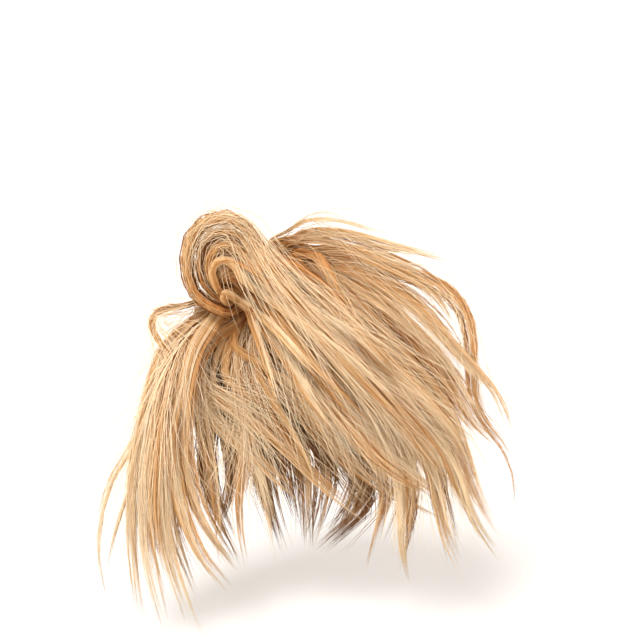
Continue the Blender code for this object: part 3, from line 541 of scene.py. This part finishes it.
def fibre_tubes(name, lines, tone, radius, material, from_root=0.0):
    """A closed three-sided tube round each line, a ring of radius * (cos u, sin u) at each point of it.

    The last ring is a single point, the tip. Each fibre has its own radius, which thins to the tip by
    the cube of the way. The rings' frame is carried from point to point along the line, without twist.
    Attributes: along goes from from_root at the fibre's start to 1 at its tip. tone is how light the
    fibre is, and TIP_BLEACH_AND_PAINTED_LIGHT * (along - TIP_BLEACH_AND_PAINTED_LIGHT_FROM) is added to it:
    painted shade towards the root, and paler towards the tip, partly as bleached ends and partly as painted
    light.
    """
    count, size = lines.shape[:2]
    low, high = np.array(CAD_BOX) / MM
    points = np.clip(placed(lines), low - FIBRE_MARGIN, high + FIBRE_MARGIN)
    tangent = np.gradient(points, axis=1)
    tangent /= np.maximum(np.linalg.norm(tangent, axis=2), 1e-9)[..., None]
    normal = np.empty_like(tangent)
    # No fibre starts along this slanted line, so the product is never nought.
    first = np.cross(tangent[:, 0], BACK + 0.1 * ACROSS)
    normal[:, 0] = first / np.linalg.norm(first, axis=1)[:, None]
    for i in range(1, size):
        step = normal[:, i - 1] - (normal[:, i - 1] * tangent[:, i]).sum(1)[:, None] * tangent[:, i]
        normal[:, i] = step / np.linalg.norm(step, axis=1)[:, None]
    binormal = np.cross(tangent, normal)
    share = np.linspace(0.0, 1.0, size)
    thin = radius * RNG.uniform(*FIBRE_OWN_R, (count, 1)) * (1.0 - FIBRE_TIP_THINS * share ** 3)
    turn = np.arange(FIBRE_SIDES) * 2.0 * math.pi / FIBRE_SIDES
    ring = (
        normal[:, :, None, :] * np.cos(turn)[None, None, :, None]
        + binormal[:, :, None, :] * np.sin(turn)[None, None, :, None]
    )
    rings = points[:, :-1, None, :] + ring[:, :-1] * thin[:, :-1, None, None]
    vertices = np.concatenate([rings.reshape(count, -1, 3), points[:, -1:]], axis=1)
    each = vertices.shape[1]
    i, k = np.meshgrid(np.arange(size - 2), np.arange(FIBRE_SIDES), indexing="ij")
    a = (i * FIBRE_SIDES + k).ravel()
    b = (i * FIBRE_SIDES + (k + 1) % FIBRE_SIDES).ravel()
    wall_a = np.stack([a, b, b + FIBRE_SIDES], 1)
    wall_b = np.stack([a, b + FIBRE_SIDES, a + FIBRE_SIDES], 1)
    last, k = (size - 2) * FIBRE_SIDES, np.arange(FIBRE_SIDES)
    tip = np.stack([last + k, last + (k + 1) % FIBRE_SIDES, np.full(FIBRE_SIDES, each - 1)], 1)
    root = [[2, 1, 0]]
    triangles = np.concatenate([wall_a, wall_b, tip, root])
    triangles = (triangles[None] + (np.arange(count) * each)[:, None, None]).reshape(-1, 3)
    mesh = mesh_of(name, vertices.reshape(-1, 3) * MM, triangles)
    along = from_root + (1.0 - from_root) * np.concatenate([np.repeat(share[:-1], FIBRE_SIDES), [1.0]])
    add_values(mesh, "along", np.tile(along, count))
    # Painted shade towards the root, and paler tips, partly bleached and partly painted light.
    lighter = TIP_BLEACH_AND_PAINTED_LIGHT * (along - TIP_BLEACH_AND_PAINTED_LIGHT_FROM)
    add_values(mesh, "tone", np.clip(tone[:, None] + lighter[None, :], 0.0, 1.0).ravel())
    return add_piece(name, mesh, material)


def mesh_of(name, vertices, triangles):
    """A smooth mesh of these triangles, with its vertices in metres."""
    mesh = bpy.data.meshes.new(name)
    mesh.vertices.add(len(vertices))
    mesh.vertices.foreach_set("co", vertices.astype(np.float32).ravel())
    mesh.loops.add(triangles.size)
    mesh.loops.foreach_set("vertex_index", triangles.astype(np.int32).ravel())
    mesh.polygons.add(len(triangles))
    mesh.polygons.foreach_set("loop_start", np.arange(0, triangles.size, 3, dtype=np.int32))
    mesh.update(calc_edges=True)
    mesh.shade_smooth()
    return mesh


def add_values(mesh, name, values):
    """Give each vertex its value, as an attribute of that name."""
    mesh.attributes.new(name, "FLOAT", "POINT").data.foreach_set("value", values.astype(np.float32))


def add_piece(name, mesh, material):
    """A piece of this mesh and material, at the origin and on the one body."""
    mesh.materials.append(material)
    piece = bpy.data.objects.new(name, mesh)
    bpy.context.scene.collection.objects.link(piece)
    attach(piece, "root")
    return piece


def turned_strip(name, profile, turn, lift, material):
    """A closed profile of (radius, stand-off) points, carried round the band's axis.

    turn is from where to where, in degrees. At turn t, profile point k is at (r cos t, -stand-off,
    r sin t), with r its radius + lift(t, k). The ends of a strip that isn't a whole ring are closed.
    Faces that come out pointing inwards are all turned round.
    """
    whole = turn[1] - turn[0] >= 360.0
    steps = max(STRIP_STEPS_LEAST, round((turn[1] - turn[0]) / STRIP_STEP_DEG))
    turns = np.radians(np.linspace(turn[0], turn[1], steps + 1)[:steps if whole else None])
    profile = np.asarray(profile, float)
    size = len(profile)
    t, k = np.meshgrid(turns, np.arange(size), indexing="ij")
    radius = profile[None, :, 0] + lift(t, k)
    off = np.broadcast_to(profile[None, :, 1], t.shape)
    vertices = np.stack([radius * np.cos(t), -off, radius * np.sin(t)], -1).reshape(-1, 3)
    i, j = np.meshgrid(np.arange(steps), np.arange(size), indexing="ij")
    i, j = i.ravel(), j.ravel()
    after, beside = (i + 1) % len(turns), (j + 1) % size
    a, b, c, d = i * size + j, i * size + beside, after * size + beside, after * size + j
    triangles = np.concatenate([np.stack([a, b, c], 1), np.stack([a, c, d], 1)])
    if not whole:
        middle = np.arange(1, size - 1)
        cap = np.stack([np.zeros_like(middle), middle + 1, middle], 1)
        end = (len(turns) - 1) * size
        triangles = np.concatenate([triangles, cap, cap[:, ::-1] + end])
    corner = vertices[triangles]
    if np.einsum("ij,ij->i", corner[:, 0], np.cross(corner[:, 1], corner[:, 2])).sum() < 0.0:
        triangles = triangles[:, ::-1]
    return add_piece(name, mesh_of(name, vertices * MM, triangles), material)


def rounded_box(low_r, high_r, low_off, high_off, ease, corner_points):
    """A rectangle of (radius, stand-off) points with quarter-round corners of the radius ease."""
    turn = np.linspace(0.0, 0.5 * math.pi, corner_points)
    corners = [
        (high_r - ease, high_off - ease, 0.0), (low_r + ease, high_off - ease, 0.5),
        (low_r + ease, low_off + ease, 1.0), (high_r - ease, low_off + ease, 1.5),
    ]
    return np.concatenate([
        np.column_stack([r + ease * np.cos(turn + q * math.pi), off + ease * np.sin(turn + q * math.pi)])
        for r, off, q in corners
    ])


def linear(code):
    """The linear colour of an sRGB hex code: v / 12.92 up to 0.04045, ((v + 0.055) / 1.055)**2.4 above."""
    value = np.array([int(code[i:i + 2], 16) for i in (1, 3, 5)]) / 255.0
    return (*np.where(value <= 0.04045, value / 12.92, ((value + 0.055) / 1.055) ** 2.4), 1.0)


def add_node(tree, kind, settings=None, links=None):
    """A node of that kind.

    settings: its properties or its inputs' values. links: the (node, output) that each named input is
    linked to.
    """
    node = tree.nodes.new(kind)
    for key, value in (settings or {}).items():
        if key in node.inputs:
            node.inputs[key].default_value = value
        else:
            setattr(node, key, value)
    for key, (source, output) in (links or {}).items():
        tree.links.new(source.outputs[output], node.inputs[key])
    return node


def new_material(name, **values):
    """A material, its tree, and its shader with these values on its own sockets, _ standing for a space."""
    material = bpy.data.materials.new(name)
    material.use_nodes = True
    shader = material.node_tree.nodes["Principled BSDF"]
    for key, value in values.items():
        shader.inputs[key.replace("_", " ")].default_value = value
    return material, material.node_tree, shader


def set_ramp(node, stops):
    """Put (position, hex colour) stops on a colour ramp."""
    ramp = node.color_ramp
    while len(ramp.elements) < len(stops):
        ramp.elements.new(0.5)
    for element, (position, code) in zip(ramp.elements, stops):
        element.position = position
        element.color = linear(code)


def drawn_fibre(name, stops, root_shade, gloss):
    """Modacrylic hair fibre, drawn from a spinneret and heat set.

    To the eye it is satin, with a soft line of gloss along each fibre. The colour is dyed in and varies
    from fibre to fibre, so a lock looks streaked. The tone it reads also carries painted light and shade.
    It is darker at the root as painted shade, where the hair is dense, by root_shade multiplied in along
    each fibre.
    """
    material, tree, shader = new_material(name, Roughness=0.45, IOR=1.5, Specular_IOR_Level=gloss)
    tone = add_node(tree, "ShaderNodeAttribute", {"attribute_name": "tone"})
    along = add_node(tree, "ShaderNodeAttribute", {"attribute_name": "along"})
    dyed = add_node(tree, "ShaderNodeValToRGB", None, {"Fac": (tone, "Fac")})
    set_ramp(dyed, stops)
    # Painted shade: root_shade darkens each fibre towards its root, by along.
    painted_root_shade = add_node(tree, "ShaderNodeValToRGB", None, {"Fac": (along, "Fac")})
    set_ramp(painted_root_shade, root_shade)
    colour = add_node(tree, "ShaderNodeMix", {"data_type": "RGBA", "blend_type": "MULTIPLY"})
    # A Mix node's sockets for numbers and colours share their names, so they go by number here.
    factor, first_colour, second_colour, result = 0, 6, 7, 2
    colour.inputs[factor].default_value = 1.0
    tree.links.new(dyed.outputs["Color"], colour.inputs[first_colour])
    tree.links.new(painted_root_shade.outputs["Color"], colour.inputs[second_colour])
    tree.links.new(colour.outputs[result], shader.inputs["Base Color"])
    return material


BLONDE = [(0.0, "#784A2A"), (0.25, "#AE7643"), (0.5, "#D9A368"), (0.75, "#F0C790"), (1.0, "#FAE3C0")]
# DEEP_GOLD_AND_PAINTED_SHADE colours the under layer, dark partly as painted shade for the gaps between the
# locks over it.
DEEP_GOLD_AND_PAINTED_SHADE = [(0.0, "#553520"), (0.3, "#7A4F2F"), (0.6, "#A3744B"), (0.85, "#CDA57C"), (1.0, "#E6C8A4")]
# ROOT_SHADE is painted shade, multiplied into the colour: darker at the root, where the hair is dense.
ROOT_SHADE = [(0.0, "#E6CCB0"), (0.2, "#F0E0CE"), (0.45, "#FAF5EE"), (0.75, "#FFFFFF")]
BLONDE_GLOSS, DEEP_GLOSS = 0.18, 0.03


def make_hair():
    """The loose fibre of every tuft, in place of its solid locks, and the stray fibres over it all.

    A lock has fibres in proportion to its width, and a wisp LOOSE_SHARE of that.
    """
    blonde = drawn_fibre("blonde_modacrylic_fibre", BLONDE, ROOT_SHADE, BLONDE_GLOSS)
    deep = drawn_fibre("deep_gold_modacrylic_and_painted_shade", DEEP_GOLD_AND_PAINTED_SHADE, ROOT_SHADE, DEEP_GLOSS)
    for name, tuft in TUFTS.items():
        locks = tuft.locks + LOOSE.get(name, [])
        widths = np.array([lock.width for lock in locks], float)
        counts = np.round(tuft.fibres * widths / np.mean([lock.width for lock in tuft.locks])).astype(int)
        loose = np.arange(len(locks)) >= len(tuft.locks)
        counts = np.where(loose, LOOSE_SHARE * counts, counts).astype(int)
        made = [
            lock_fibres(tuft, lock, count, LOOSE_OVER if is_loose else 0.0)
            for lock, count, is_loose in zip(locks, counts, loose)
        ]
        lines = np.concatenate([lines for lines, _ in made])
        tone = np.concatenate([tone for _, tone in made])
        # The under layer's deep gold is partly painted shade, a dark layer seen in the gaps between the
        # locks over it.
        material = deep if name == "under_layer" else blonde
        hair = fibre_tubes(f"{name}_fibres", lines, tone, tuft.radius, material)
        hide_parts(name)
    lines, tone = flyaway_lines()
    stray = fibre_tubes("flyaway_fibres", lines, tone, FLYAWAY_R, blonde, FLYAWAY_FROM_ROOT)


def make_weft():
    """Each row's strip of machine-sewn weft: a rounded strip, pulled in by a stitch every 2 mm.

    Its radius is 0.3 * |sin(half the stitches * turn)| more on its outer side. To the eye it is matt
    and firm, with lighter and darker threads. They are drawn 1.1 mm apart, coarser than in life, so
    that they show.
    """
    sewn, tree, shader = new_material("machine_sewn_weft", Roughness=0.8)
    place = add_node(tree, "ShaderNodeTexCoord")
    thread = add_node(tree, "ShaderNodeTexNoise", {"Scale": 900.0, "Detail": 3.0},
                      {"Vector": (place, "Object")})
    colour = add_node(tree, "ShaderNodeValToRGB", None, {"Fac": (thread, "Fac")})
    set_ramp(colour, [(0.3, "#7A5432"), (0.7, "#B98A5A")])
    tree.links.new(colour.outputs["Color"], shader.inputs["Base Color"])
    relief = add_node(tree, "ShaderNodeBump", {"Strength": 0.5, "Distance": 0.0003},
                      {"Height": (thread, "Fac")})
    tree.links.new(relief.outputs["Normal"], shader.inputs["Normal"])
    stitches = round(2.0 * math.pi * WEFT_OUTER_R / STITCH_PITCH)
    for name, tuft in TUFTS.items():
        back = ROW_START[tuft.row]
        outside = WEFT_OUTER_R - STITCH_DEPTH
        profile = rounded_box(WEFT_INNER_R, outside, back, back + ROW_WIDTH, WEFT_EDGE_R, corner_points=3)
        outer = profile[:, 0] > ROOT_R

        def pulled(turn, k):
            return np.where(outer[k], STITCH_DEPTH * np.abs(np.sin(0.5 * stitches * turn)), 0.0)

        strip = turned_strip(f"{name}_weft", profile, tuft.weft_deg, pulled, sewn)


def make_band():
    """The knitted elastic loop, with a rib every 1.1 mm round it.

    Its radius is 0.22 * |sin(half the ribs * turn)| less at each turn. To the eye it is matt with a
    faint sheen of fluff, and brown with lighter courses of the knit. They are 0.95 mm apart along the
    loop, about as in life.
    """
    knit, tree, shader = new_material("knitted_elastic", Roughness=0.88, Sheen_Weight=0.25)
    place = add_node(tree, "ShaderNodeTexCoord")
    yarn = add_node(tree, "ShaderNodeTexWave", {"Scale": 330.0, "Distortion": 1.5, "bands_direction": "Y"},
                    {"Vector": (place, "Object")})
    colour = add_node(tree, "ShaderNodeValToRGB", None, {"Fac": (yarn, "Fac")})
    set_ramp(colour, [(0.0, "#5E4128"), (1.0, "#9A7046")])
    tree.links.new(colour.outputs["Color"], shader.inputs["Base Color"])
    relief = add_node(tree, "ShaderNodeBump", {"Strength": 0.6, "Distance": 0.0004},
                      {"Height": (yarn, "Fac")})
    tree.links.new(relief.outputs["Normal"], shader.inputs["Normal"])
    inside = BAND_INNER_R + RIB_ROOM
    outside = BAND_INNER_R + BAND_WALL
    profile = rounded_box(inside, outside, 0.0, BAND_LENGTH, BAND_EDGE_R, corner_points=5)
    ribs = round(2.0 * math.pi * BAND_INNER_R / RIB_PITCH)

    def ribbed(turn, k):
        return -RIB_DEPTH * np.abs(np.sin(0.5 * ribs * turn))

    band = turned_strip("elastic_band_knit", profile, (0.0, 360.0), ribbed, knit)
    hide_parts("elastic_band")


# The floor's size is in metres, so that it has no edge in view. It lies a little under the longest tip.
FLOOR_SIZE, FLOOR_DROP = 400.0, 4.0
SURROUND = [(0.0, "#FFFFFF"), (0.10, "#FFFFFF"), (0.45, "#BBB1A8"), (1.0, "#D4CBC3")]
SURROUND_STRENGTH = 1.6
# Each lamp's name, where it shines from, how wide it looks in degrees, and its strength.
LAMPS = [("key_light", (-0.30, -0.85, 0.95), 20.0, 2.2), ("fill_light", (0.55, -0.85, 0.60), 50.0, 0.5)]


def make_stage():
    """The floor of matt white paper, soft light all round with two wide lamps, and the eye."""
    scene = bpy.context.scene
    bpy.ops.mesh.primitive_plane_add(size=FLOOR_SIZE, location=(0.0, 0.0, CAD_BOX[0][2] - FLOOR_DROP * MM))
    floor = bpy.context.object
    floor.name = "pale_floor"
    paper = new_material("matt_white_paper", Roughness=0.9, Base_Color=linear("#EAEBEB"))[0]
    floor.data.materials.append(paper)
    world = bpy.data.worlds.new("white_surround")
    scene.world = world
    world.use_nodes = True
    tree = world.node_tree
    place = add_node(tree, "ShaderNodeTexCoord")
    height = add_node(tree, "ShaderNodeSeparateXYZ", None, {"Vector": (place, "Generated")})
    walls = add_node(tree, "ShaderNodeValToRGB", None, {"Fac": (height, "Z")})
    set_ramp(walls, SURROUND)
    background = tree.nodes["Background"]
    tree.links.new(walls.outputs["Color"], background.inputs["Color"])
    background.inputs["Strength"].default_value = SURROUND_STRENGTH
    for name, shines_from, width_deg, strength in LAMPS:
        lamp = bpy.data.lights.new(name, "SUN")
        lamp.angle = math.radians(width_deg)
        lamp.energy = strength
        light = bpy.data.objects.new(name, lamp)
        scene.collection.objects.link(light)
        light.location = shines_from
        light.rotation_euler = (-Vector(shines_from)).to_track_quat("-Z", "Y").to_euler()
    camera = bpy.data.cameras.new("eye")
    camera.sensor_width = SENSOR_WIDTH
    camera.lens = SENSOR_WIDTH * SIGHT_DISTANCE / PICTURE_WIDTH
    eye = bpy.data.objects.new("eye", camera)
    scene.collection.objects.link(eye)
    eye.location = EYE * MM
    eye.rotation_euler = (0.5 * math.pi - SIGHT_TILT, 0.0, 0.0)
    scene.camera = eye
    scene.view_settings.view_transform = "Standard"


make_hair()
make_weft()
make_band()
make_stage()

bpy.context.view_layer.update()
